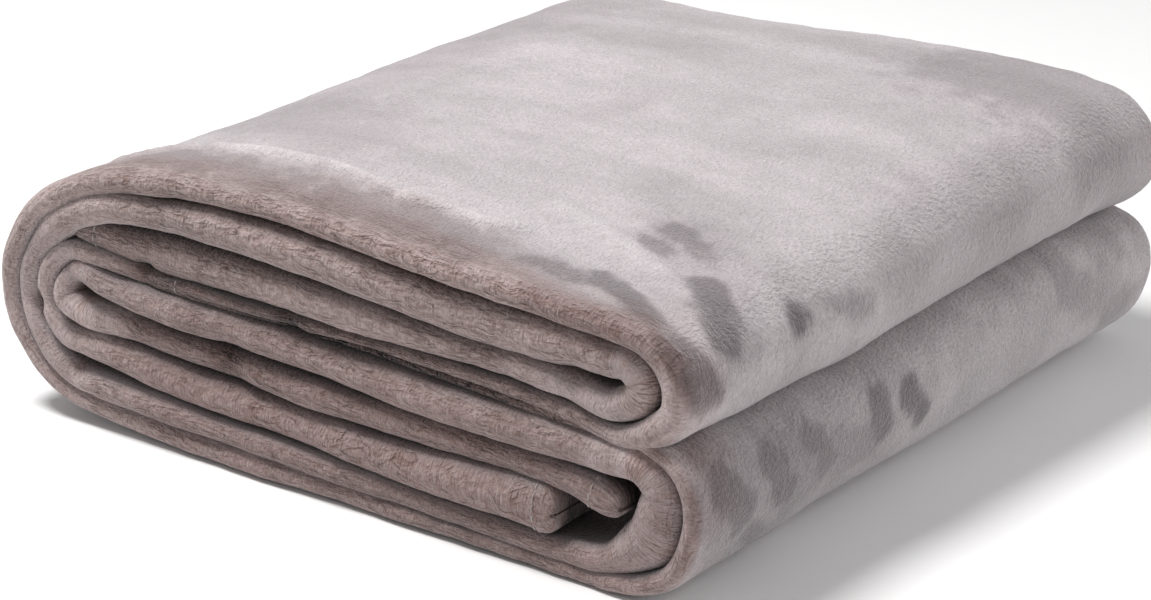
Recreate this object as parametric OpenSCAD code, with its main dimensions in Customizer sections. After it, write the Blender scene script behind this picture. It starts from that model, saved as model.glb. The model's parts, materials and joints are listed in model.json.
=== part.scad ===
// Folded throw blanket, lying flat with its folds towards -Y.
// It is one plush sheet. Both long edges are turned in to the middle, the sheet is doubled
// into a four-ply strip, and the strip is rolled up once and folded over on itself.
// So every level of the stack is a two-ply layer, and the strip's outer and inner layer
// run side by side through each bend. One node is the stretch of a layer between two bends.
// The origin is under the middle of the stack, and +Z is up.

/* [Stack] */
// Length of the folded stack, from the spine to the rolled end
stack_l = 336; // [320:2:380]
// Depth of the folded stack, from the fold edges to the back
stack_d = 330; // [280:5:380]
// How far the upper rolled end stays behind the lower one
upper_setback = 9; // [0:1:18]

/* [Layer heights, from the floor up] */
// Outer layer under the stack
bottom_outer_t = 9; // [8:0.5:11]
// Inner layer under the stack
bottom_inner_t = 9; // [8:0.5:11]
// Outer layer of the tail, in the middle of the roll
tail_outer_t = 14; // [12:0.5:16]
// Inner layer of the tail, in the middle of the roll
tail_inner_t = 12.5; // [11:0.5:14]
// Inner layer of the lower flap
lower_flap_inner_t = 13; // [11:0.5:15]
// Outer layer of the lower flap, pressed flat
lower_flap_outer_t = 4.5; // [4:0.5:7]
// Outer layer of the upper flap, pressed flat
upper_flap_outer_t = 5.5; // [4:0.5:7]
// Inner layer of the upper flap
upper_flap_inner_t = 15; // [13:0.5:17]
// Inner layer over the stack
top_inner_t = 17; // [15:0.5:19]
// Outer layer over the stack
top_outer_t = 12.5; // [11:0.5:14]

/* [Free ends] */
// Where the outer layer of the tail ends, measured back from the rolled end
tail_outer_back = 62; // [55:1:80]
// Where the inner layer of the tail ends, measured back from the rolled end
tail_inner_back = 38; // [36:1:50]
// Where the outer layer of the upper flap ends, measured from the spine
flap_outer_in = 80; // [70:1:100]
// Where the inner layer of the upper flap ends, measured from the spine
flap_inner_in = 66; // [64:1:69]
// Width of the turned hem at each free end
hem_w = 12; // [10:1:16]

/* [Clearance] */
// Gap between neighbouring layers
gap = 0.3; // [0.2:0.1:0.5]

/* [Hidden] */
$fn = 96;

// Level of each layer's underside, and of the top of the stack
z_bottom_inner = bottom_outer_t;
z_tail_outer = z_bottom_inner + bottom_inner_t;
z_tail_inner = z_tail_outer + tail_outer_t;
z_lower_flap_inner = z_tail_inner + tail_inner_t;
z_lower_flap_outer = z_lower_flap_inner + lower_flap_inner_t;
z_upper_flap_outer = z_lower_flap_outer + lower_flap_outer_t;
z_upper_flap_inner = z_upper_flap_outer + upper_flap_outer_t;
z_top_inner = z_upper_flap_inner + upper_flap_inner_t;
z_top_outer = z_top_inner + top_inner_t;
z_top = z_top_outer + top_outer_t;

// Where the straight layers meet the bends, along X
x_spine = -stack_l / 2;
x_end = stack_l / 2;
x_spine_bend = x_spine + z_top / 2;
x_lower_roll = x_end - z_upper_flap_outer / 2;
x_upper_roll = x_end - upper_setback - (z_top - z_upper_flap_outer) / 2;

y_front = -stack_d / 2;
y_back = stack_d / 2;
// Depth that the half-round fold takes at the back of the thickest pair of layers
back_r = (z_top - z_top_inner) / 2;

cloth = [0.72, 0.68, 0.67];
cloth_shade = [0.62, 0.57, 0.56];
cloth_inner = [0.56, 0.50, 0.48];
hem_colour = [0.50, 0.44, 0.42];

// A flat two-ply layer from x0 to x1 between two levels, rounded over at the front fold
// and cut square where the back fold of its pair begins
module layer(x0, x1, z0, z1, pair_t) {
    t = z1 - z0 - gap;
    depth = stack_d - pair_t / 2;
    translate([x0, y_front, z0])
        rotate([90, 0, 90])
            linear_extrude(x1 - x0)
                union() {
                    translate([t / 2, t / 2]) circle(d = t);
                    translate([t / 2, 0]) square([depth - t / 2 - gap, t]);
                }
}

// The half-round fold that joins an outer and an inner layer along the back
module back_fold(x0, x1, z0, z1) {
    t = z1 - z0 - gap;
    translate([x0, y_back - (z1 - z0) / 2, z0 + t / 2])
        rotate([90, 0, 90])
            linear_extrude(x1 - x0)
                intersection() {
                    circle(d = t);
                    translate([0, -t / 2]) square([t / 2, t]);
                }
}

// A disc standing between two levels, drawn in the XZ plane
module disc_between(x, z0, z1) {
    translate([x, (z0 + z1) / 2]) circle(d = z1 - z0);
}

// A layer turning through half a circle about x: outer and inner are pairs of levels, and
// side is -1 for a bend towards the spine and 1 for a bend towards the rolled end
module bend(x, side, outer, inner) {
    reach = outer[1] - outer[0];
    translate([0, y_back - back_r, 0])
        rotate([90, 0, 0])
            linear_extrude(stack_d - back_r)
                difference() {
                    intersection() {
                        disc_between(x, outer[0], outer[1] - gap);
                        translate([side > 0 ? x + gap / 2 : x - reach - gap / 2, outer[0] - 1])
                            square([reach, reach + 2]);
                    }
                    disc_between(x, inner[0] - gap, inner[1]);
                }
}

module bottom_outer_layer() {
    color(cloth_shade)
        layer(x_spine_bend, x_lower_roll, 0, z_bottom_inner, z_tail_outer);
}

module bottom_inner_layer() {
    color(cloth_inner)
        layer(x_spine_bend, x_lower_roll, z_bottom_inner, z_tail_outer, z_tail_outer);
}

module lower_roll_outer() {
    color(cloth_shade)
        bend(x_lower_roll, 1, [0, z_upper_flap_outer], [z_bottom_inner, z_lower_flap_outer]);
}

module lower_roll_inner() {
    color(cloth_inner)
        bend(x_lower_roll, 1, [z_bottom_inner, z_lower_flap_outer],
             [z_tail_outer, z_lower_flap_inner]);
}

module lower_flap_outer() {
    color(cloth_shade)
        layer(x_spine_bend, x_lower_roll, z_lower_flap_outer, z_upper_flap_outer,
              z_upper_flap_outer - z_lower_flap_inner);
}

module lower_flap_inner() {
    color(cloth_inner)
        layer(x_spine_bend, x_lower_roll, z_lower_flap_inner, z_lower_flap_outer,
              z_upper_flap_outer - z_lower_flap_inner);
}

module inner_turn_outer() {
    color(cloth_shade)
        bend(x_spine_bend, -1, [z_tail_outer, z_upper_flap_outer], [z_tail_inner, z_lower_flap_outer]);
}

module inner_turn_inner() {
    color(cloth_inner)
        bend(x_spine_bend, -1, [z_tail_inner, z_lower_flap_outer],
             [z_lower_flap_inner - gap, z_lower_flap_inner + gap]);
}

module tail_outer() {
    color(cloth_shade)
        layer(x_spine_bend, x_end - tail_outer_back - hem_w, z_tail_outer, z_tail_inner,
              z_lower_flap_inner - z_tail_outer);
}

module tail_inner() {
    color(cloth_inner)
        layer(x_spine_bend, x_end - tail_inner_back - hem_w, z_tail_inner, z_lower_flap_inner,
              z_lower_flap_inner - z_tail_outer);
}

module tail_end_hem() {
    x_outer = x_end - tail_outer_back;
    x_inner = x_end - tail_inner_back;
    color(hem_colour) {
        layer(x_outer - hem_w, x_outer, z_tail_outer, z_tail_inner,
              z_lower_flap_inner - z_tail_outer);
        layer(x_inner - hem_w, x_inner, z_tail_inner, z_lower_flap_inner,
              z_lower_flap_inner - z_tail_outer);
    }
}

module bottom_back_fold() {
    color(cloth_shade)
        back_fold(x_spine_bend, x_lower_roll, 0, z_tail_outer);
}

module lower_flap_back_fold() {
    color(cloth_shade)
        back_fold(x_spine_bend, x_lower_roll, z_lower_flap_inner, z_upper_flap_outer);
}

module tail_back_fold() {
    color(cloth_shade)
        back_fold(x_spine_bend, x_end - tail_outer_back, z_tail_outer, z_lower_flap_inner);
}

module spine_outer_bend() {
    color(cloth)
        bend(x_spine_bend, -1, [0, z_top], [z_bottom_inner, z_top_outer]);
}

module spine_inner_bend() {
    color(cloth_inner)
        bend(x_spine_bend, -1, [z_bottom_inner, z_top_outer], [z_tail_outer, z_top_inner]);
}

module top_outer_layer() {
    color(cloth)
        layer(x_spine_bend, x_upper_roll, z_top_outer, z_top, z_top - z_top_inner);
}

module top_inner_layer() {
    color(cloth_inner)
        layer(x_spine_bend, x_upper_roll, z_top_inner, z_top_outer, z_top - z_top_inner);
}

module upper_roll_outer() {
    color(cloth)
        bend(x_upper_roll, 1, [z_upper_flap_outer, z_top], [z_upper_flap_inner, z_top_outer]);
}

module upper_roll_inner() {
    color(cloth_inner)
        bend(x_upper_roll, 1, [z_upper_flap_inner, z_top_outer],
             [z_top_inner - gap, z_top_inner + gap]);
}

module upper_flap_outer() {
    color(cloth_shade)
        layer(x_spine + flap_outer_in + hem_w, x_upper_roll, z_upper_flap_outer,
              z_upper_flap_inner, z_top_inner - z_upper_flap_outer);
}

module upper_flap_inner() {
    color(cloth_inner)
        layer(x_spine + flap_inner_in + hem_w, x_upper_roll, z_upper_flap_inner,
              z_top_inner, z_top_inner - z_upper_flap_outer);
}

module flap_end_hem() {
    x_outer = x_spine + flap_outer_in;
    x_inner = x_spine + flap_inner_in;
    color(hem_colour) {
        layer(x_outer, x_outer + hem_w, z_upper_flap_outer, z_upper_flap_inner,
              z_top_inner - z_upper_flap_outer);
        layer(x_inner, x_inner + hem_w, z_upper_flap_inner, z_top_inner,
              z_top_inner - z_upper_flap_outer);
    }
}

module top_back_fold() {
    color(cloth)
        back_fold(x_spine_bend, x_upper_roll, z_top_inner, z_top);
}

module upper_flap_back_fold() {
    color(cloth_shade)
        back_fold(x_spine + flap_outer_in, x_upper_roll, z_upper_flap_outer, z_top_inner);
}

bottom_outer_layer();
bottom_inner_layer();
lower_roll_outer();
lower_roll_inner();
lower_flap_outer();
lower_flap_inner();
inner_turn_outer();
inner_turn_inner();
tail_outer();
tail_inner();
tail_end_hem();
bottom_back_fold();
lower_flap_back_fold();
tail_back_fold();
spine_outer_bend();
spine_inner_bend();
top_outer_layer();
top_inner_layer();
upper_roll_outer();
upper_roll_inner();
upper_flap_outer();
upper_flap_inner();
flap_end_hem();
top_back_fold();
upper_flap_back_fold();
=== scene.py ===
# A folded plush throw blanket. The cloth is one sheet, 127 x 152 cm: both long edges are turned
# in to the middle, the sheet is doubled into a four-ply strip, and the strip is rolled up once
# and folded over on itself. Here it is built along that path, ply by ply.
import json
import math
import bpy
import numpy as np
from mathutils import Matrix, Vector


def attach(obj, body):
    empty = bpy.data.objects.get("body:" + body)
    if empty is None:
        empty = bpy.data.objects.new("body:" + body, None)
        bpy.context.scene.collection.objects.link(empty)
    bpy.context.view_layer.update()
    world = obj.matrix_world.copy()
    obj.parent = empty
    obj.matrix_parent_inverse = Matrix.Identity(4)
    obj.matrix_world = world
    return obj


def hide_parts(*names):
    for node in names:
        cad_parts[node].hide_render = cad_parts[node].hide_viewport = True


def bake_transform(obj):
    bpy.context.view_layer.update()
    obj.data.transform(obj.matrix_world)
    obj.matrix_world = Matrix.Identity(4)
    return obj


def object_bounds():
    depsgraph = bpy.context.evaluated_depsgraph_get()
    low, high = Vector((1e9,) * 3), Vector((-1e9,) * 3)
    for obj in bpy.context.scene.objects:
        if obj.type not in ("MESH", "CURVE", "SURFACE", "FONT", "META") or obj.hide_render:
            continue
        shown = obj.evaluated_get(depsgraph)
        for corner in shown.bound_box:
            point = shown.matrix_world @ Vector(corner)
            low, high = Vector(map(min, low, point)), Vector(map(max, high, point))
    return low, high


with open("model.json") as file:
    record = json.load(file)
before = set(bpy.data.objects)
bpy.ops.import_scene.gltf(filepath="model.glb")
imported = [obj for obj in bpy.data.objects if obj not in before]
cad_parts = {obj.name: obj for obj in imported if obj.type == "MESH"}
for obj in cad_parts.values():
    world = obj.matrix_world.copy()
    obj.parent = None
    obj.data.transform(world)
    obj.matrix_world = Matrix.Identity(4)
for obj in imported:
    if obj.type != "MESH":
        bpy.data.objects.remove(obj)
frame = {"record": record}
CAD_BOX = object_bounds()
MM = 0.001

# ---------------------------------------------------------------- sizes

PLY = 2.6 * MM          # thickness of one ply, pile and all
HEM = 12 * MM           # width of the turned hem at the free ends
END_ROUNDING = 2 * MM   # how far from a free end its edge starts to round off
STEP = 2.8 * MM         # spacing of the mesh along the strip
FINE_STEP = 1.7 * MM    # spacing of the mesh near the front edge
FINE_DEPTH = 60 * MM    # how far in from the front edge that is kept

STITCH = 4.2 * MM       # spacing of the stitches in a hem
# A stitch, as its share of the spacing, its height over the cloth and its radius at each ring
STITCH_SHAPE = [(0, -0.3 * MM, 0.15 * MM), (0.08, 0.1 * MM, 0.3 * MM), (0.35, 0.3 * MM, 0.34 * MM),
                (0.62, 0.1 * MM, 0.3 * MM), (0.7, -0.3 * MM, 0.15 * MM)]

Y_FRONT, Y_BACK = CAD_BOX[0].y, CAD_BOX[1].y
Y_HEM = Y_BACK - 22 * MM
NOSE = 5 * MM, 9 * MM   # how far from the strip's lower end each layer starts to close
SHOULDER = 36 * MM      # how far back from the front edge the pile stands open on the top
SHOULDER_LEAST = 19 * MM    # the same at the right end
WRAP_DEPTH = 10 * MM    # how far the fold at the back stands out
CROWN = 3.5 * MM        # how much taller the stack is in the middle than along its edges
THINNEST = 3.5 * MM     # least thickness of a layer
FOLD_DEPTH = 1.6 * MM, 7.5 * MM     # least and greatest depth of a rounded fold at the front
END_TAPER = 28 * MM     # how far from a free end those folds start to flatten
WANDER, WANDER_LENGTH = 0.8 * MM, 45 * MM   # how far a front edge wanders, and over what length
BEND_RADIUS = 15 * MM   # a bend this tight, or tighter, counts as full
BEND_MARK = 4 * MM, 32 * MM     # how far in from the front its mark starts to fade, and is gone
# Painted shade between the front folds: where it starts and is full, and where it fades and is
# gone, in from the front
CREVICE_SHADE_START = 1.5 * MM, 8.5 * MM     # how far in from the front a crevice starts, and is full
CREVICE_SHADE_END = 16 * MM, 38 * MM     # how far in it starts to fade, and is gone
TAIL_MARK = 10 * MM, 4 * MM     # how far from the lower end its open pile starts, and is full
TOP_HEIGHT = 88 * MM, 96 * MM   # heights where the creases of the top start, and are full

# How many columns of the mesh go round a fold at the front and at the back, over the cloth turned
# in behind each front fold, and over the hidden side of the inner layer
FRONT_ROUND, BACK_ROUND, TURNED_IN, HIDDEN = 25, 17, 12, 40
THREAD_SIDES = 6
NOISE_CELLS = 256

# The strip's path through the stack, in mm, from its upper free end to its lower one. A row is a
# place on the outer layer and the place beside it on the inner layer. A place is x, z, the
# layer's thickness, and how far its fold stays back from the front of the stack. The places were
# read off the photo's front face, scaled and rounded by a scratch script, then adjusted by hand.
UPPER_FLAP = [
    ((-89, 67, 4, 4), (-128, 79, 6, 2)),
    ((-76, 67, 5.5, 4), (-117, 78.5, 12, 2)),
    ((-53, 66.5, 5.5, 4), (-92, 77.5, 17, 2)),
    ((-18, 66, 5.5, 4), (-55, 77.5, 17, 2)),
    ((18, 66, 5.5, 4), (-18, 76.5, 15, 2)),
    ((53, 65.5, 5.5, 4), (18, 75, 13, 2)),
    ((85, 64.5, 5.5, 4), (53, 74, 11, 2)),
    ((111, 62.5, 6, 3), (85, 74, 11, 2)),
    ((136, 60, 7, 1), (111, 72.5, 11, 1)),
]
UPPER_ROLL = [
    ((147.5, 64.5, 11, 0), (131, 70, 12.5, 0)),
    ((156.5, 73.5, 13.5, 0), (139.5, 75, 14, 0)),
    ((156.5, 84.5, 13.5, 0), (141.5, 80.5, 15, 0)),
    ((148, 94.5, 11, 0), (137, 86, 14, 0)),
]
TOP = [
    ((129, 99, 10, 0), (127, 87, 14, 0)),
    ((101, 101, 10.5, 0), (101, 87, 17, 0)),
    ((56, 103.5, 10.5, 0), (56, 88, 18.5, 0)),
    ((9, 107, 10.5, 0), (9, 92.5, 18, 0)),
    ((-38, 108.5, 10.5, 0), (-38, 95, 16.5, 0)),
    ((-80, 107, 10.5, 0), (-80, 94.5, 13, 0)),
]
SPINE = [
    ((-111, 102, 10, 0), (-111, 91.5, 12, 0)),
    ((-132, 93.5, 9, 0), (-128, 85, 12, 0)),
    ((-147, 83, 8.5, 0), (-140, 76, 11.5, 0)),
    ((-157, 70.5, 9, 0), (-149, 66, 10.5, 0)),
    ((-163, 53.5, 9, 0), (-154, 53.5, 10, 0)),
    ((-161, 35.5, 9, 0), (-152, 39, 8.5, 0)),
    ((-150, 21, 8.5, 0), (-143, 27, 9.5, 0)),
    ((-131, 10.5, 8.5, 0), (-127, 18.5, 9, 0)),
]
BOTTOM = [
    ((-111, 7.5, 9.5, 0), (-111, 17, 9, 0)),
    ((-76, 5.5, 9.5, 0), (-76, 15, 9, 0)),
    ((-27, 5, 8.5, 0), (-27, 13.5, 9, 0)),
    ((27, 4.5, 7.5, 0), (27, 11.5, 9, 0)),
    ((71, 4, 6, 0), (71, 10, 9.5, 0)),
    ((107, 3.5, 5.5, 0), (107, 9.5, 10, 0)),
    ((131, 4, 5.5, 0), (129, 12, 13, 0)),
]
LOWER_ROLL = [
    ((147, 7.5, 6.5, 0), (139.5, 18.5, 19, 0)),
    ((157, 14, 7.5, 0), (147, 26, 22, 0)),
    ((163, 26, 8, 0), (149.5, 34.5, 20, 0)),
    ((165, 40.5, 8, 0), (150, 43.5, 17, 0)),
    ((160, 52.5, 7, 0), (142, 50, 15, 0)),
]
LOWER_FLAP = [
    ((146, 58.5, 5, 2), (129, 50.5, 14.5, 0)),
    ((120, 59.5, 4.5, 5), (102, 50.5, 15, 0)),
    ((80, 60, 4.5, 7), (67, 50.5, 15, 0)),
    ((36, 61.5, 5, 7), (27, 52, 15.5, 0)),
    ((-9, 63, 5, 7), (-18, 54.5, 15.5, 0)),
    ((-53, 64.5, 5, 7), (-58, 55.5, 14, 0)),
    ((-89, 67, 6, 5), (-89, 57, 13, 0)),
    ((-114, 70, 7, 2), (-112, 60, 10.5, 0)),
]
INNER_TURN = [
    ((-133, 69, 7.5, 1), (-126, 63, 8.5, 0)),
    ((-142, 59.5, 8, 0), (-133, 57, 8.5, 0)),
    ((-144, 47, 8.5, 0), (-134, 50.5, 9, 0)),
    ((-136, 35.5, 11, 0), (-125, 46, 12, 0)),
]
TAIL = [
    ((-114, 32.5, 14, 0), (-107, 45, 12.5, 1)),
    ((-89, 29.5, 16.5, 0), (-85, 43.5, 11.5, 2)),
    ((-53, 27, 16.5, 0), (-49, 42, 12.5, 2)),
    ((-13, 25.5, 15, 0), (-4, 39.5, 12.5, 2)),
    ((31, 23, 16.5, 0), (40, 38.5, 12.5, 2)),
    ((71, 23.5, 17.5, 0), (85, 38, 10.5, 2)),
    ((93, 24, 17.5, 0), (113, 37, 11, 1)),
    ((106, 24, 16.5, 0), (134, 33, 11.5, 1)),
]
PATH = (UPPER_FLAP + UPPER_ROLL + TOP + SPINE + BOTTOM + LOWER_ROLL + LOWER_FLAP
        + INNER_TURN + TAIL)
# Ridges and grooves on the top, in mm: height, width, and the points of the line in x and y,
# which were read off the photo
CREASES = [
    (2.4, 2.6, [(-84, -127), (-22, -128), (15, -133), (47, -131), (63, -127)]),
    (-1.2, 6, [(-84, -119), (-22, -119), (20, -124)]),
    (1.4, 3.2, [(-120, -142), (-113, -131), (-96, -126)]),
    (-1.1, 1.8, [(7, -126), (12, -140)]),
    (-0.7, 1.8, [(-29, -133), (-25, -145)]),
    (1.3, 4, [(61, -101), (97, -113), (134, -129), (158, -148)]),
    (-1.3, 4, [(84, -132), (109, -131), (134, -141), (150, -156)]),
]
# Pits in the front folds, in mm: x, z, radius and depth. Their places were read off the photo.
DENTS = [(-92, 71, 4, 3.5), (-20, 66, 5, 2.5), (-49, 45, 9, 3), (-130, 61, 5, 3), (112, 77, 7, 3),
         (-148, 46, 3.5, 8), (-127, 24, 4, 7)]
# How far the top rises over the upper roll at the back, sinks towards the spine, and sinks in a
# hollow at the back, with the place of that hollow along x and its width
RIGHT_RISE, LEFT_SINK, REAR_SINK = 13 * MM, 4.5 * MM, 8 * MM
HOLLOW_X, HOLLOW_WIDTH = -42 * MM, 62 * MM
# How far the gap between the rolls sinks, how much more at the back, and how far the upper roll
# moves out at the back
GAP_SINK, GAP_SINK_REAR, REAR_PUSH = 5 * MM, 4 * MM, 6 * MM
GAP_PEAK = 6.75         # brings h * h * (1 - h) to 1 at its highest, two thirds of the way up

SPINE_TOP = len(UPPER_FLAP + UPPER_ROLL + TOP)
SPINE_BOTTOM = SPINE_TOP + len(SPINE)
ROLL_START = len(UPPER_FLAP)
ROLL_END = SPINE_BOTTOM + len(BOTTOM + LOWER_ROLL) - 1

# ---------------------------------------------------------------- camera, floor and lights


def add_object(name, data):
    obj = bpy.data.objects.new(name, data)
    bpy.context.scene.collection.objects.link(obj)
    return obj


def look(obj, place, target):
    obj.location = place
    obj.rotation_euler = (Vector(target) - Vector(place)).to_track_quat("-Z", "Y").to_euler()


def camera(azimuth, elevation, distance, target, lens):
    a, e = math.radians(azimuth), math.radians(elevation)
    back = Vector((math.sin(a) * math.cos(e), -math.cos(a) * math.cos(e), math.sin(e)))
    cam = add_object("camera", bpy.data.cameras.new("camera"))
    cam.data.lens = lens
    cam.data.sensor_width = 36
    cam.data.clip_end = 20
    look(cam, Vector(target) + back * distance, target)
    bpy.context.scene.camera = cam


def area_light(name, place, target, size, watts, colour):
    lamp = add_object(name, bpy.data.lights.new(name, "AREA"))
    lamp.data.shape = "DISK"
    lamp.data.size = size
    lamp.data.energy = watts
    lamp.data.color = colour
    look(lamp, place, target)


def studio():
    """The camera was fitted to the stack's outline in the photo, then adjusted."""
    camera(37, 20.9, 1.366, (0.018, -0.035, 0.0447), 109)
    area_light("key", (-0.5, -0.34, 1.45), (0, 0, 0.05), 0.5, 24.5, (1, 0.99, 0.985))
    area_light("side", (1.3, 0.3, 0.8), (0, 0, 0.05), 1.0, 5, (1, 0.98, 0.98))
    area_light("rear", (0.9, 1.5, 0.4), (0.3, 0, 0), 0.8, 4, (1, 1, 1))
    world = bpy.data.worlds.new("studio")
    bpy.context.scene.world = world
    world.use_nodes = True
    background = world.node_tree.nodes["Background"]
    background.inputs["Color"].default_value = (1, 1, 1, 1)
    background.inputs["Strength"].default_value = 0.33
    bpy.context.scene.view_settings.view_transform = "Standard"


# ---------------------------------------------------------------- smooth noise


def lattice_noise(u, v, cell_u, cell_v, seed):
    """Smooth noise from -1 to 1 over two coordinates, with bumps about a cell across."""
    cells = np.random.RandomState(seed).uniform(-1, 1, (NOISE_CELLS, NOISE_CELLS))
    pu, pv = u / cell_u, v / cell_v
    iu, iv = np.floor(pu).astype(int), np.floor(pv).astype(int)
    fu, fv = pu - iu, pv - iv
    fu, fv = fu * fu * (3 - 2 * fu), fv * fv * (3 - 2 * fv)

    def at(du, dv):
        return cells[(iu + du) % NOISE_CELLS, (iv + dv) % NOISE_CELLS]

    near = at(0, 0) * (1 - fu) + at(1, 0) * fu
    far = at(0, 1) * (1 - fu) + at(1, 1) * fu
    return near * (1 - fv) + far * fv


def soft_step(x, start, end):
    """0 up to start, 1 from end on, and smooth between them."""
    t = np.clip((x - start) / (end - start), 0, 1)
    return t * t * (3 - 2 * t)


def fade_out(x, start, end):
    """1 up to start, 0 from end on, and smooth between them."""
    return soft_step(-x, -end, -start)


# ---------------------------------------------------------------- the folded strip


def through(knots, values, at):
    """Values at the given places on a smooth curve that goes through values at knots."""
    slopes = np.gradient(values, knots, axis=0)
    i = np.clip(np.searchsorted(knots, at, side="right") - 1, 0, len(knots) - 2)
    h = (knots[i + 1] - knots[i])[:, None]
    t = (at - knots[i])[:, None] / h
    return ((2 * t**3 - 3 * t**2 + 1) * values[i] + (t**3 - 2 * t**2 + t) * h * slopes[i]
            + (3 * t**2 - 2 * t**3) * values[i + 1] + (t**3 - t**2) * h * slopes[i + 1])


def strip_samples():
    """Where along the path the mesh has its rows: the row of PATH before, and the share on.
    They are closer together towards the lower free end."""
    places = np.array(PATH, float)[:, :, :2] * MM
    spans = np.linalg.norm(np.diff(places, axis=0), axis=2).max(1)
    rows, shares = [], []
    for i, span in enumerate(spans):
        last = i == len(spans) - 1
        count = max(2, math.ceil(span / (STEP / 2 if last else STEP)))
        rows += [i] * count
        shares += [1 - (1 - k / count) ** (1.6 if last else 1) for k in range(count)]
    return np.array(rows + [len(spans) - 1]), np.array(shares + [1.0])


class Layer:
    """One two-ply layer followed along the strip: its middle, its outward side and its size."""

    def __init__(self, which, rows, shares):
        table = np.array([row[which] for row in PATH], float) * MM
        steps = np.linalg.norm(np.diff(table[:, :2], axis=0), axis=1)
        knots = np.concatenate([[0], np.cumsum(steps)])
        at = knots[rows] + shares * (knots[rows + 1] - knots[rows])
        values = through(knots, table, at)
        self.length = at
        self.middle = values[:, :2]
        along = np.gradient(self.middle, at, axis=0)
        along /= np.linalg.norm(along, axis=1)[:, None]
        self.out = np.stack([along[:, 1], -along[:, 0]], axis=1)
        self.half = np.maximum(values[:, 2], THINNEST) / 2 - PLY / 2
        nose = np.clip((at[-1] - at) / NOSE[which], 0, 1)
        self.half = np.maximum(self.half * np.sqrt(1 - (1 - nose) ** 2), PLY / 10)
        self.back = np.maximum(values[:, 3], 0)
        self.fold = np.clip(self.half * 1.15, *FOLD_DEPTH)
        self.fold *= 0.4 + 0.6 * soft_step(np.minimum(at, at[-1] - at), 0, END_TAPER)
        turn = np.gradient(np.unwrap(np.arctan2(along[:, 1], along[:, 0])), at)
        self.bend = np.abs(turn)

    def ply(self, side):
        return self.middle + self.out * (self.half * side)[:, None]


def cross_shares():
    """Shares of the way from the front to the back, closer together near the front."""
    depth = Y_BACK - Y_FRONT
    near = np.linspace(0, FINE_DEPTH / depth, math.ceil(FINE_DEPTH / FINE_STEP) + 1)
    far = np.linspace(FINE_DEPTH / depth, 1, math.ceil((depth - FINE_DEPTH) / STEP) + 1)
    return np.concatenate([near, far[1:]])


def fold_strip():
    """The middle surface of the cloth as a grid: rows along the strip, columns across it, from
    the long edge turned in behind the outer layer round to the one behind the inner layer. With
    it come how near each column is to the foremost line of a fold, how far each point lies on
    the outside of the stack, where along the path each row lies, and the two layers."""
    rows, shares = strip_samples()
    outer, inner = Layer(0, rows, shares), Layer(1, rows, shares)
    columns, fold_mark, bare_mark = [], [], []

    def add(place, y, mark=0.0, bare=0.0):
        columns.append(np.stack([place[:, 0], y, place[:, 1]], axis=1))
        fold_mark.append(mark)
        bare_mark.append(bare)

    def front_of(layer):
        wander = lattice_noise(layer.length, layer.length * 0, WANDER_LENGTH, 1,
                               3 + (layer is inner))
        return Y_FRONT + layer.back + layer.fold + wander * WANDER

    def front_fold(layer):
        for angle in np.radians(np.linspace(-90, 90, FRONT_ROUND))[1:-1]:
            place = layer.ply(math.sin(angle))
            bare = max(0, math.sin(angle)) if layer is outer else 0
            add(place, front_of(layer) - layer.fold * math.cos(angle), math.cos(angle), bare)

    turned_in = np.linspace(1, 0, TURNED_IN) ** 1.5
    for share in turned_in:
        add(outer.ply(-1), front_of(outer) + (Y_HEM - front_of(outer)) * share)
    front_fold(outer)
    y_wrap = Y_BACK - WRAP_DEPTH
    for share in cross_shares():
        add(outer.ply(1), front_of(outer) + (y_wrap - front_of(outer)) * share, bare=1)
    for angle in np.radians(np.linspace(90, -90, BACK_ROUND))[1:-1]:
        high, low = outer.ply(1), inner.ply(-1)
        place = (high + low) / 2 + (high - low) / 2 * math.sin(angle)
        add(place, np.full(len(place), y_wrap + WRAP_DEPTH * math.cos(angle)), bare=1)
    for share in np.linspace(1, 0, HIDDEN) ** 1.4:
        add(inner.ply(-1), front_of(inner) + (y_wrap - front_of(inner)) * share)
    front_fold(inner)
    for share in turned_in[::-1]:
        add(inner.ply(1), front_of(inner) + (Y_HEM - front_of(inner)) * share)
    position = rows + shares
    on_outside = (soft_step(position, ROLL_START - 1, ROLL_START + 0.5)
                  * fade_out(position, ROLL_END - 0.5, ROLL_END + 1))
    bare = on_outside[:, None] * np.array(bare_mark)
    return np.stack(columns, axis=1), np.array(fold_mark), bare, position, outer, inner


def grid_normals(grid):
    along, across = np.gradient(grid, axis=0), np.gradient(grid, axis=1)
    normal = np.cross(across, along)
    return normal / np.maximum(np.linalg.norm(normal, axis=2), 1e-12)[:, :, None]


def settle(grid):
    """The shape of the whole stack: crowned in the middle, lower towards the spine, hollow at
    the back left of the middle, and risen at the back of the upper roll. The gap between the
    rolls sinks as the roll over it rises."""
    x, y, z = grid[:, :, 0], grid[:, :, 1], grid[:, :, 2]
    share = z / CAD_BOX[1].z
    inward = soft_step(y, Y_FRONT, Y_FRONT + 55 * MM)
    rear = soft_step(y, Y_FRONT + 25 * MM, Y_BACK - 45 * MM)
    right = soft_step(x, 0, 150 * MM)
    crown = inward * fade_out(y, Y_BACK - 45 * MM, Y_BACK) * soft_step(x, -150 * MM, 0)
    sink = inward * fade_out(x, -130 * MM, -20 * MM) * (1 - 0.6 * soft_step(y, -80 * MM, 40 * MM))
    top = CROWN * crown + RIGHT_RISE * rear * right - LEFT_SINK * sink
    hollow = np.exp(-((x - HOLLOW_X) / HOLLOW_WIDTH) ** 2)
    top -= REAR_SINK * soft_step(y, 50 * MM, Y_BACK) * hollow
    gap = right * (GAP_SINK * inward + GAP_SINK_REAR * rear)
    grid[:, :, 2] = z + top * share - gap * GAP_PEAK * share**2 * (1 - share)
    grid[:, :, 0] = x + REAR_PUSH * rear * right * soft_step(share, 0.55, 0.75)
    return grid


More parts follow.
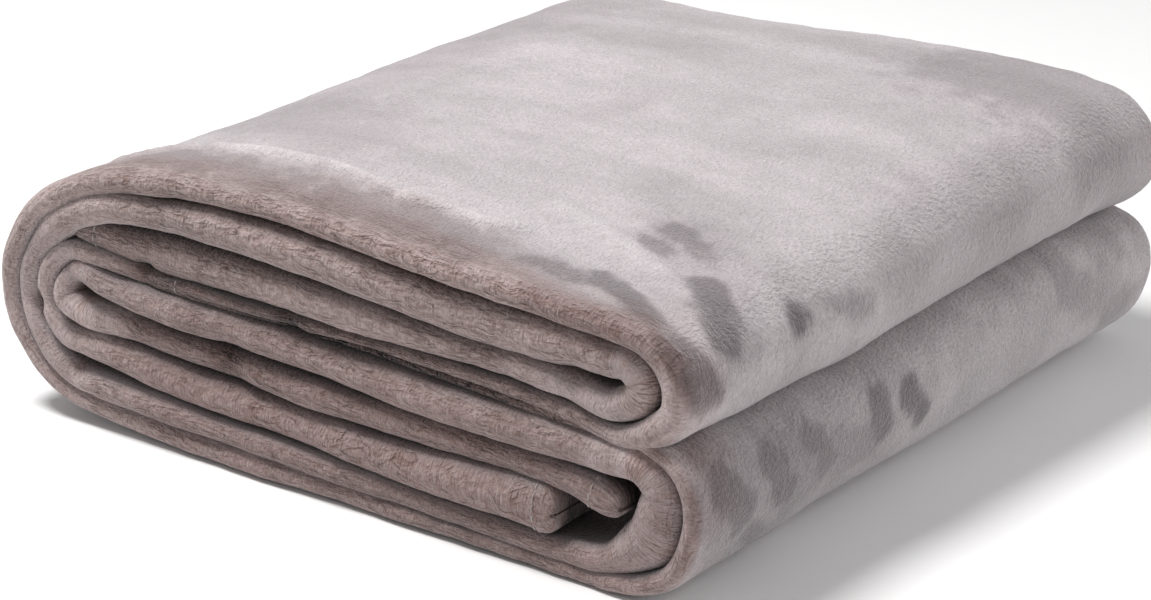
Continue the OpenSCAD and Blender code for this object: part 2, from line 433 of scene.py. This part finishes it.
def creases(place):
    """Ridges and grooves on the top of the stack, in metres along the normal."""
    height = np.zeros(place.shape[:2])
    on_top = soft_step(place[:, :, 2], *TOP_HEIGHT)
    for size, width, line in CREASES:
        line = np.array(line, float) * MM
        gap = np.full(height.shape, 1.0)
        for a, b in zip(line, line[1:]):
            t = np.clip(((place[:, :, :2] - a) @ (b - a)) / ((b - a) @ (b - a)), 0, 1)
            foot = a + t[:, :, None] * (b - a)
            gap = np.minimum(gap, np.linalg.norm(place[:, :, :2] - foot, axis=2))
        height += size * MM * np.exp(-(gap / (width * MM)) ** 2) * on_top
    return height


def dent(grid):
    """Small pits where the front folds are pinched, pushed back from the front of the stack."""
    for x, z, radius, depth in DENTS:
        gap = np.hypot(grid[:, :, 0] - x * MM, grid[:, :, 2] - z * MM) / (radius * MM)
        near = fade_out(grid[:, :, 1], Y_FRONT + 8 * MM, Y_FRONT + 20 * MM)
        grid[:, :, 1] += depth * MM * np.exp(-gap ** 2) * near
    return grid


def wrinkle(cloth):
    """Small uneven swells of soft cloth, in metres along the normal."""
    u, v = cloth[:, :, 0], cloth[:, :, 1]
    swell = 1.1 * lattice_noise(u, v, 75 * MM, 60 * MM, 11)
    swell += 0.5 * lattice_noise(u, v, 28 * MM, 22 * MM, 12)
    swell += 0.22 * lattice_noise(u, v, 11 * MM, 9 * MM, 13)
    swell += 0.16 * lattice_noise(u, v, 5 * MM, 5 * MM, 14)
    return swell * MM


# ---------------------------------------------------------------- meshes


def shell(name, grid, normal, thickness, data):
    """A closed mesh around the grid, with a ply's thickness. Its two faces are shaded smooth and
    run on into its neighbours', and the cut edge round it is shaded flat."""
    n, m = grid.shape[:2]
    half = thickness[:, :, None] / 2
    points = np.concatenate([(grid + normal * half).reshape(-1, 3),
                             (grid - normal * half).reshape(-1, 3)])
    number = np.arange(n * m).reshape(n, m)
    quads = np.stack([number[:-1, :-1], number[:-1, 1:], number[1:, 1:], number[1:, :-1]], axis=-1)
    face = quads.reshape(-1, 4)
    edge = np.concatenate([number[0, :], number[1:, -1], number[-1, -2::-1], number[-2:0:-1, 0]])
    ahead = np.roll(edge, -1)
    rim = np.stack([ahead, edge, edge + n * m, ahead + n * m], axis=-1)
    faces = np.concatenate([face, face[:, ::-1] + n * m, rim])
    mesh = bpy.data.meshes.new(name)
    mesh.from_pydata(points.tolist(), [], faces.tolist())
    mesh.polygons.foreach_set("use_smooth", np.ones(len(faces), bool))
    side = np.concatenate([normal.reshape(-1, 3), -normal.reshape(-1, 3)])
    corner = side[faces.ravel()]
    rim_start = 4 * 2 * len(face)  # four corners a face, after the faces of both sides
    a, b, c = (points[rim[:, k]] for k in range(3))
    flat = np.cross(b - a, c - b)
    flat /= np.maximum(np.linalg.norm(flat, axis=1), 1e-12)[:, None]
    corner[rim_start:] = np.repeat(flat, 4, axis=0)
    mesh.normals_split_custom_set(corner.tolist())
    for key, values in data.items():
        kind = "FLOAT_VECTOR" if values.ndim == 3 else "FLOAT"
        layer = mesh.attributes.new(key, kind, "POINT")
        both = np.concatenate([values.reshape(n * m, -1)] * 2).astype(np.float32)
        layer.data.foreach_set("vector" if kind == "FLOAT_VECTOR" else "value", both.ravel())
    return add_object(name, mesh)


def stitches(name, grid, normal, thickness, row):
    """A line of stitches along one row of the grid, each a short thread lying in the pile."""
    line = grid[row] + normal[row] * (thickness[row][:, None] / 2)
    inside = grid[row] - normal[row] * (thickness[row][:, None] / 2)
    points, faces = [], []
    for side in (line, inside):
        run = np.concatenate([[0], np.cumsum(np.linalg.norm(np.diff(side, axis=0), axis=1))])
        for start in np.arange(STITCH, run[-1] - STITCH, STITCH):
            for k, (share, lift, radius) in enumerate(STITCH_SHAPE):
                at = start + share * STITCH
                here, ahead = (np.array([np.interp(at + d, run, side[:, c]) for c in range(3)])
                               for d in (0, 1 * MM))
                along = (ahead - here) / np.linalg.norm(ahead - here)
                up = np.array([np.interp(at, run, normal[row][:, c]) for c in range(3)])
                up = up if side is line else -up
                across = np.cross(along, up)
                for turn in np.radians(range(0, 360, 360 // THREAD_SIDES)):
                    ring = across * math.cos(turn) + up * math.sin(turn)
                    points.append(here + up * lift + ring * radius)
                if k:
                    this_ring = len(points) - THREAD_SIDES
                    last_ring = this_ring - THREAD_SIDES
                    for i in range(THREAD_SIDES):
                        j = (i + 1) % THREAD_SIDES
                        faces.append([last_ring + i, last_ring + j, this_ring + j, this_ring + i])
            end = len(points)
            start_ring = end - THREAD_SIDES * len(STITCH_SHAPE)
            faces += [list(range(start_ring + THREAD_SIDES - 1, start_ring - 1, -1)),
                      list(range(end - THREAD_SIDES, end))]
    mesh = bpy.data.meshes.new(name)
    mesh.from_pydata([tuple(p) for p in points], [], faces)
    mesh.polygons.foreach_set("use_smooth", np.ones(len(faces), bool))
    return add_object(name, mesh)


# ---------------------------------------------------------------- materials


class Graph:
    """A short way to write a material's nodes."""

    def __init__(self, name):
        self.material = bpy.data.materials.new(name)
        self.material.use_nodes = True
        self.tree = self.material.node_tree
        self.tree.nodes.clear()

    def add(self, kind, inputs, out=0, **settings):
        node = self.tree.nodes.new(kind)
        for key, value in settings.items():
            setattr(node, key, value)
        for key, value in inputs.items():
            if isinstance(value, bpy.types.NodeSocket):
                self.tree.links.new(value, node.inputs[key])
            else:
                node.inputs[key].default_value = value
        return node.outputs[out] if node.outputs else None

    def attribute(self, name, out):
        return self.add("ShaderNodeAttribute", {}, out=out, attribute_name=name)

    def noise(self, vector, scale, detail=2.0, roughness=0.5):
        return self.add("ShaderNodeTexNoise", {"Vector": vector, "Scale": scale,
                        "Detail": detail, "Roughness": roughness})

    def vectors(self, operation, a, b):
        return self.add("ShaderNodeVectorMath", {0: a, 1: b}, operation=operation)

    def streaks(self, vector, along, across):
        """Noise drawn out into streaks: how many times it changes in a metre, each way."""
        return self.noise(self.vectors("MULTIPLY", vector, (along, across, 1)), 1.0, 2.0, 0.55)

    def partings(self, vector, along, across, width):
        """Thin wavy lines where the pile opens: 0 along each line and 1 between the lines."""
        noise = self.streaks(vector, along, across)
        gap = self.maths("ABSOLUTE", self.maths("SUBTRACT", noise, 0.5))
        return self.remap(gap, 0, width, 0, 1)

    def centred(self, noise):
        """Noise brought to a range from -1 to 1."""
        return self.remap(noise, 0.32, 0.68, -1, 1)

    def maths(self, operation, *values):
        return self.add("ShaderNodeMath", dict(enumerate(values)), operation=operation)

    def total(self, *terms):
        """The sum of each term's value times its weight."""
        parts = [self.maths("MULTIPLY", value, weight) for value, weight in terms]
        whole = parts[0]
        for part in parts[1:]:
            whole = self.maths("ADD", whole, part)
        return whole

    def remap(self, value, low, high, to_low, to_high):
        return self.add("ShaderNodeMapRange", {"Value": value, "From Min": low, "From Max": high,
                        "To Min": to_low, "To Max": to_high})

    def mix(self, factor, a, b):
        node = self.tree.nodes.new("ShaderNodeMix")
        node.data_type = "RGBA"
        for socket, value in ((node.inputs[0], factor), (node.inputs[6], a), (node.inputs[7], b)):
            if isinstance(value, bpy.types.NodeSocket):
                self.tree.links.new(value, socket)
            else:
                socket.default_value = value
        return node.outputs[2]


def plush():
    """Brushed plush: fine pile, rows where the pile opens over a fold, darker pile laid the other
    way and painted shade, a painted highlight along the raised creases, and painted shade between
    the front folds."""
    g = Graph("plush_fleece")
    place = g.attribute("place", 1)
    cloth = g.attribute("cloth", 1)
    nap_and_painted_light = g.attribute("nap_and_painted_light", 2)
    fold = g.attribute("fold", 2)
    bend = g.attribute("bend", 2)
    crevice_shade = g.attribute("crevice_shade", 2)

    wander = g.add("ShaderNodeTexNoise", {"Vector": cloth, "Scale": 70.0, "Detail": 1.0}, out=1)
    wander = g.vectors("MULTIPLY", wander, (0.003, 0.0035, 0))
    wavy = g.vectors("ADD", cloth, wander)
    strokes_along = g.centred(g.streaks(wavy, 260, 1000))
    strokes_across = g.centred(g.streaks(wavy, 900, 240))
    rows_along = g.partings(wavy, 75, 430, 0.045)
    rows_across = g.partings(wavy, 400, 80, 0.045)
    hatch = g.centred(g.streaks(wavy, 900, 500))
    pile = g.centred(g.noise(place, 1100.0, 1.0, 0.6))
    tufts = g.centred(g.noise(place, 380.0, 2.0, 0.5))
    sweep = g.centred(g.noise(g.vectors("MULTIPLY", place, (8, 30, 30)), 1.0, 3.0, 0.5))
    cloud = g.centred(g.noise(place, 38.0, 3.0, 0.6))
    ruffled = g.remap(g.noise(place, 55.0, 2.0, 0.5), 0.4, 0.62, 0.2, 1.0)

    across = g.maths("SUBTRACT", 1.0, bend)
    open_pile = g.maths("MAXIMUM", fold, bend)
    strokes = g.total((g.maths("MULTIPLY", strokes_along, across), 1.0),
                      (g.maths("MULTIPLY", strokes_across, bend), 1.0))
    gaps = g.total((g.maths("MULTIPLY", g.maths("SUBTRACT", 1.0, rows_along), across), 1.0),
                   (g.maths("MULTIPLY", g.maths("SUBTRACT", 1.0, rows_across), bend), 1.0))
    gaps = g.maths("MULTIPLY", g.maths("MULTIPLY", gaps, ruffled), open_pile)
    fine = g.total((pile, 0.5), (hatch, 0.3), (tufts, 0.2))
    opened = g.maths("MULTIPLY", strokes, open_pile)
    height = g.total((fine, 0.2), (opened, 0.4), (gaps, -0.6), (tufts, 0.05), (hatch, 0.14))

    mauve, rose = (0.484, 0.446, 0.458, 1), (0.48, 0.325, 0.29, 1)
    # Painted shade in the crevices between the front folds turns them rosier here and darker in
    # relief below; tight bends are made lighter.
    redness = g.total((open_pile, 0.62), (opened, -0.1), (gaps, 0.35), (crevice_shade, 0.4))
    colour = g.mix(redness, mauve, rose)
    relief = g.total((1.0, 1.0), (gaps, -0.3), (open_pile, -0.2), (opened, 0.17), (fine, 0.18),
                     (bend, 0.2), (crevice_shade, -0.64))
    soft = g.total((1.0, 1.0), (sweep, 0.11), (cloud, 0.06))
    edged = g.remap(g.total((nap_and_painted_light, 1.0), (tufts, 0.1), (strokes_along, 0.1), (cloud, 0.08)),
                    0.28, 0.8, 0, 1)
    # Darker where the pile lies the other way and where shade is painted in the strokes, lighter
    # under the painted highlight along the raised creases.
    brushed_and_shaded = g.total((1.0, 1.0), (nap_and_painted_light, -0.38), (edged, -0.22))
    value = g.maths("MULTIPLY", g.maths("MULTIPLY", relief, soft), brushed_and_shaded)
    colour = g.add("ShaderNodeHueSaturation", {
        "Color": colour, "Saturation": g.total((nap_and_painted_light, 0.5), (1.0, 1.0)), "Value": value})

    bump = g.add("ShaderNodeBump", {"Height": height, "Strength": 1.0, "Distance": 1.0 * MM})
    shader = g.add("ShaderNodeBsdfPrincipled", {
        "Base Color": colour, "Roughness": 0.9, "Normal": bump, "Specular IOR Level": 0.12,
        "Sheen Weight": 0.4, "Sheen Roughness": 0.4, "Sheen Tint": (0.96, 0.94, 0.95, 1)})
    g.add("ShaderNodeOutputMaterial", {"Surface": shader})
    return g.material


def thread():
    """Spun sewing thread, with its twist as fine slanting ridges."""
    g = Graph("hem_thread")
    place = g.add("ShaderNodeTexCoord", {}, out=3)
    twist = g.add("ShaderNodeTexWave", {"Vector": place, "Scale": 900.0, "Distortion": 2.0,
                                        "Detail": 2.0}, out=1, bands_direction="DIAGONAL")
    shade = g.noise(place, 60.0)
    colour = g.mix(g.remap(shade, 0.35, 0.65, 0, 1), (0.36, 0.31, 0.3, 1), (0.46, 0.41, 0.4, 1))
    bump = g.add("ShaderNodeBump", {"Height": twist, "Strength": 0.5, "Distance": 0.1 * MM})
    shader = g.add("ShaderNodeBsdfPrincipled", {
        "Base Color": colour, "Roughness": 0.55, "Normal": bump, "Specular IOR Level": 0.4})
    g.add("ShaderNodeOutputMaterial", {"Surface": shader})
    return g.material


def plain_floor():
    g = Graph("floor")
    shader = g.add("ShaderNodeBsdfPrincipled", {
        "Base Color": (0.9, 0.9, 0.9, 1), "Roughness": 0.8, "Specular IOR Level": 0.1})
    g.add("ShaderNodeOutputMaterial", {"Surface": shader})
    return g.material


# ---------------------------------------------------------------- the blanket

# Strokes of darker pile: both ends and the radius in mm, and how dark the stroke looks. Some are
# pile laid the other way, and some are painted shade: the band in front of the ridge, the lower
# bands of the front, the lower right side and the rear right corner. Those in view were read off
# the photo, some of them printed as rows by a scratch script, and then adjusted and added to by
# hand.
NAP_AND_SHADE_STROKES = [
    ((104, -106, 109), (112, -109, 109), 6.5, 0.75),
    ((106, -92, 109), (134, -103, 109), 7, 0.75),
    ((138, -119, 106), (161, -138, 96), 9.5, 1.0),
    ((40, -144, 107), (60, -141, 107), 8, 0.45),
    ((80, -146, 107), (111, -145, 107), 6.5, 0.75),
    ((108, -140, 105), (145, -156, 105), 6.5, 0.85),
    ((-100, -144, 105), (60, -148, 107), 15, 0.56),
    ((60, -146, 107), (100, -152, 106), 13, 0.45),
    ((108, -98, 109), (157, -130, 102), 20, 0.36),
    ((156, -163, 101), (165, -153, 81), 9.5, 1.0),
    ((163, -97, 95), (164, -94, 90), 6.5, 1.0),
    ((163, -84, 97), (164, -72, 88), 5, 0.6),
    ((164, -65, 85), (165, -58, 82), 6, 0.55),
    ((164, -115, 66), (164, -106, 66), 4.5, 0.6),
    ((167, -50, 45), (167, -46, 34), 7, 1.0),
    ((167, -29, 41), (167, -21, 30), 7, 1.0),
    ((166, -148, 40), (166, -102, 36), 20, 0.6),
    ((167, -150, 46), (167, -138, 30), 9, 0.95),
    ((167, -121, 46), (167, -113, 31), 8, 0.9),
    ((167, -94, 45), (167, -84, 33), 8, 0.8),
    ((166, -132, 20), (165, -120, 14), 8, 0.8),
    ((166, -99, 36), (166, -56, 28), 13, 0.6),
    ((162, -140, 21), (162, -111, 16), 12, 0.5),
    ((162, 88, 46), (162, 138, 27), 11, 0.5),
    ((-100, -62, 105), (-46, -100, 108), 30, 0.3),
    ((-120, 0, 100), (-110, 130, 100), 44, 0.26),
    ((100, -162, 104), (150, -165, 98), 11, 0.5),
    ((-70, -165, 32), (100, -165, 26), 30, 0.42),
    ((140, -165, 20), (160, -165, 42), 22, 0.4),
    ((120, 130, 108), (165, 130, 95), 52, 0.5),
    ((165, 0, 80), (168, 100, 85), 36, 0.34),
    ((166, -140, 28), (166, -50, 38), 36, 0.42),
]


def nap_and_painted_light_marks(place, cloth):
    """How dark the pile laid the other way and the painted shade are, from 0 to 1, or a little
    below 0 along the raised creases, where a painted highlight makes them lighter."""
    u, v = cloth[:, :, 0], cloth[:, :, 1]
    ragged = 0.25 * lattice_noise(u, v, 8 * MM, 8 * MM, 21)
    ragged += 0.25 * lattice_noise(u, v, 3.5 * MM, 3.5 * MM, 22)
    mark = np.zeros(u.shape)
    for start, end, radius, strength in NAP_AND_SHADE_STROKES:
        start, end = np.array(start) * MM, np.array(end) * MM
        share = np.clip((place - start) @ (end - start) / ((end - start) @ (end - start)), 0, 1)
        foot = start + share[:, :, None] * (end - start)
        gap = np.linalg.norm(place - foot, axis=2) / (radius * MM)
        mark = np.maximum(mark, strength * fade_out(gap + ragged, 0.5, 1.5))
    broad = lattice_noise(u, v, 24 * MM, 60 * MM, 23) + ragged
    mark = np.maximum(mark, 0.16 * soft_step(broad, 0.1, 1.0))
    # A painted highlight: the raised creases of the top are made lighter.
    return mark - 0.3 * np.clip(creases(place) / (1.8 * MM), 0, 1)


def opened_pile(grid, cloth, fold_mark):
    """How far the pile stands open, from 0 to 1: where the cloth turns over the front, and on
    the top of the stack from there back to the ridge behind the front edge."""
    ragged = lattice_noise(cloth[:, :, 0], cloth[:, :, 1], 13 * MM, 6 * MM, 31) * 4 * MM
    reach = SHOULDER * fade_out(grid[:, :, 0], 20 * MM, 150 * MM)
    depth = (grid[:, :, 1] + ragged - Y_FRONT) / np.maximum(reach, SHOULDER_LEAST)
    shoulder = 0.25 * fade_out(depth, 0.7, 1.15) + 0.55 * fade_out(depth, 0.1, 0.75)
    shoulder *= soft_step(grid[:, :, 2], 80 * MM, 95 * MM)
    return np.maximum(np.clip(fold_mark * 1.2, 0, 1), shoulder)


def blanket():
    grid, fold_mark, bare, position, outer, inner = fold_strip()
    grid = settle(grid)
    across = np.linalg.norm(np.diff(grid, axis=1), axis=2).mean(0)
    v = np.concatenate([[0], np.cumsum(across)])
    s = (outer.length + inner.length) / 2
    n, m = grid.shape[:2]
    is_outer = np.arange(m) < np.argmax(v > v[-1] / 2)
    cloth = np.stack([np.repeat(s[:, None], m, 1), np.repeat(v[None], n, 0),
                      np.zeros((n, m))], axis=2)
    normal = grid_normals(grid)
    grid = dent(grid + normal * (wrinkle(cloth) + creases(grid))[:, :, None])
    normal = grid_normals(grid)
    from_end = np.minimum(s, s[-1] - s)
    hem = fade_out(from_end, HEM - 1 * MM, HEM + 1 * MM)
    round_off = np.sqrt(1 - (1 - np.clip(from_end / END_ROUNDING, 0.15, 1)) ** 2)
    thickness = np.repeat((PLY * (1 + 0.15 * hem) * round_off)[:, None], m, 1)
    bend = np.clip(outer.bend * BEND_RADIUS, 0, 1)[:, None] * (1 - 0.6 * is_outer)
    tail_end = soft_step(s, s[-1] - TAIL_MARK[0], s[-1] - TAIL_MARK[1])[:, None]
    inside = grid[:, :, 1] - Y_FRONT
    front = fade_out(inside, *BEND_MARK)
    data = {
        # painted shade in the crevices between the front folds, kept off the cloth on the outside
        # of the stack
        "crevice_shade": (1 - bare) * soft_step(inside, *CREVICE_SHADE_START) * fade_out(inside, *CREVICE_SHADE_END),
        "place": grid.copy(),
        "cloth": cloth,
        "fold": np.maximum(opened_pile(grid, cloth, fold_mark[None]) * (1 - 0.8 * bend * front),
                           0.9 * tail_end),
        "bend": bend * front,
        # darker pile laid the other way, painted shade, and a painted highlight along the raised
        # creases
        "nap_and_painted_light": nap_and_painted_light_marks(grid, cloth),
    }
    spine_rows = [int(np.argmax(position >= row)) for row in (SPINE_TOP, SPINE_BOTTOM)]
    cuts = [0, *spine_rows, n - 1]
    pieces = []
    for name, start, end in zip(("upper_cloth", "spine_cloth", "lower_cloth"), cuts, cuts[1:]):
        part = slice(start, end + 1)
        piece = shell(name, grid[part], normal[part], thickness[part],
                      {key: values[part] for key, values in data.items()})
        piece.data.materials.append(plush_material)
        pieces.append(piece)
    seams = []
    for name, row in (("flap_hem_stitches", int(np.searchsorted(s, HEM - 2 * MM))),
                      ("tail_hem_stitches", int(np.searchsorted(s, s[-1] - HEM + 2 * MM)))):
        seam = stitches(name, grid, normal, thickness, row)
        seam.data.materials.append(thread_material)
        seams.append(seam)
    return pieces + seams


studio()
bpy.ops.mesh.primitive_plane_add(size=8)
floor = bpy.context.object
floor.name = "floor"
floor.data.materials.append(plain_floor())

plush_material, thread_material = plush(), thread()
upper, spine, lower, flap_seam, tail_seam = blanket()
bodies = frame["record"]["behaviour"]["bodies"]
spine_nodes = [n for n in bodies["lower_half"] if n.startswith("spine_")]
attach(upper, "upper_half")
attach(lower, "lower_half")
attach(flap_seam, "upper_half")
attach(tail_seam, "lower_half")
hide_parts(*bodies["upper_half"])
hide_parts(*[n for n in bodies["lower_half"] if n not in spine_nodes])
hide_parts(*spine_nodes)
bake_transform(spine)
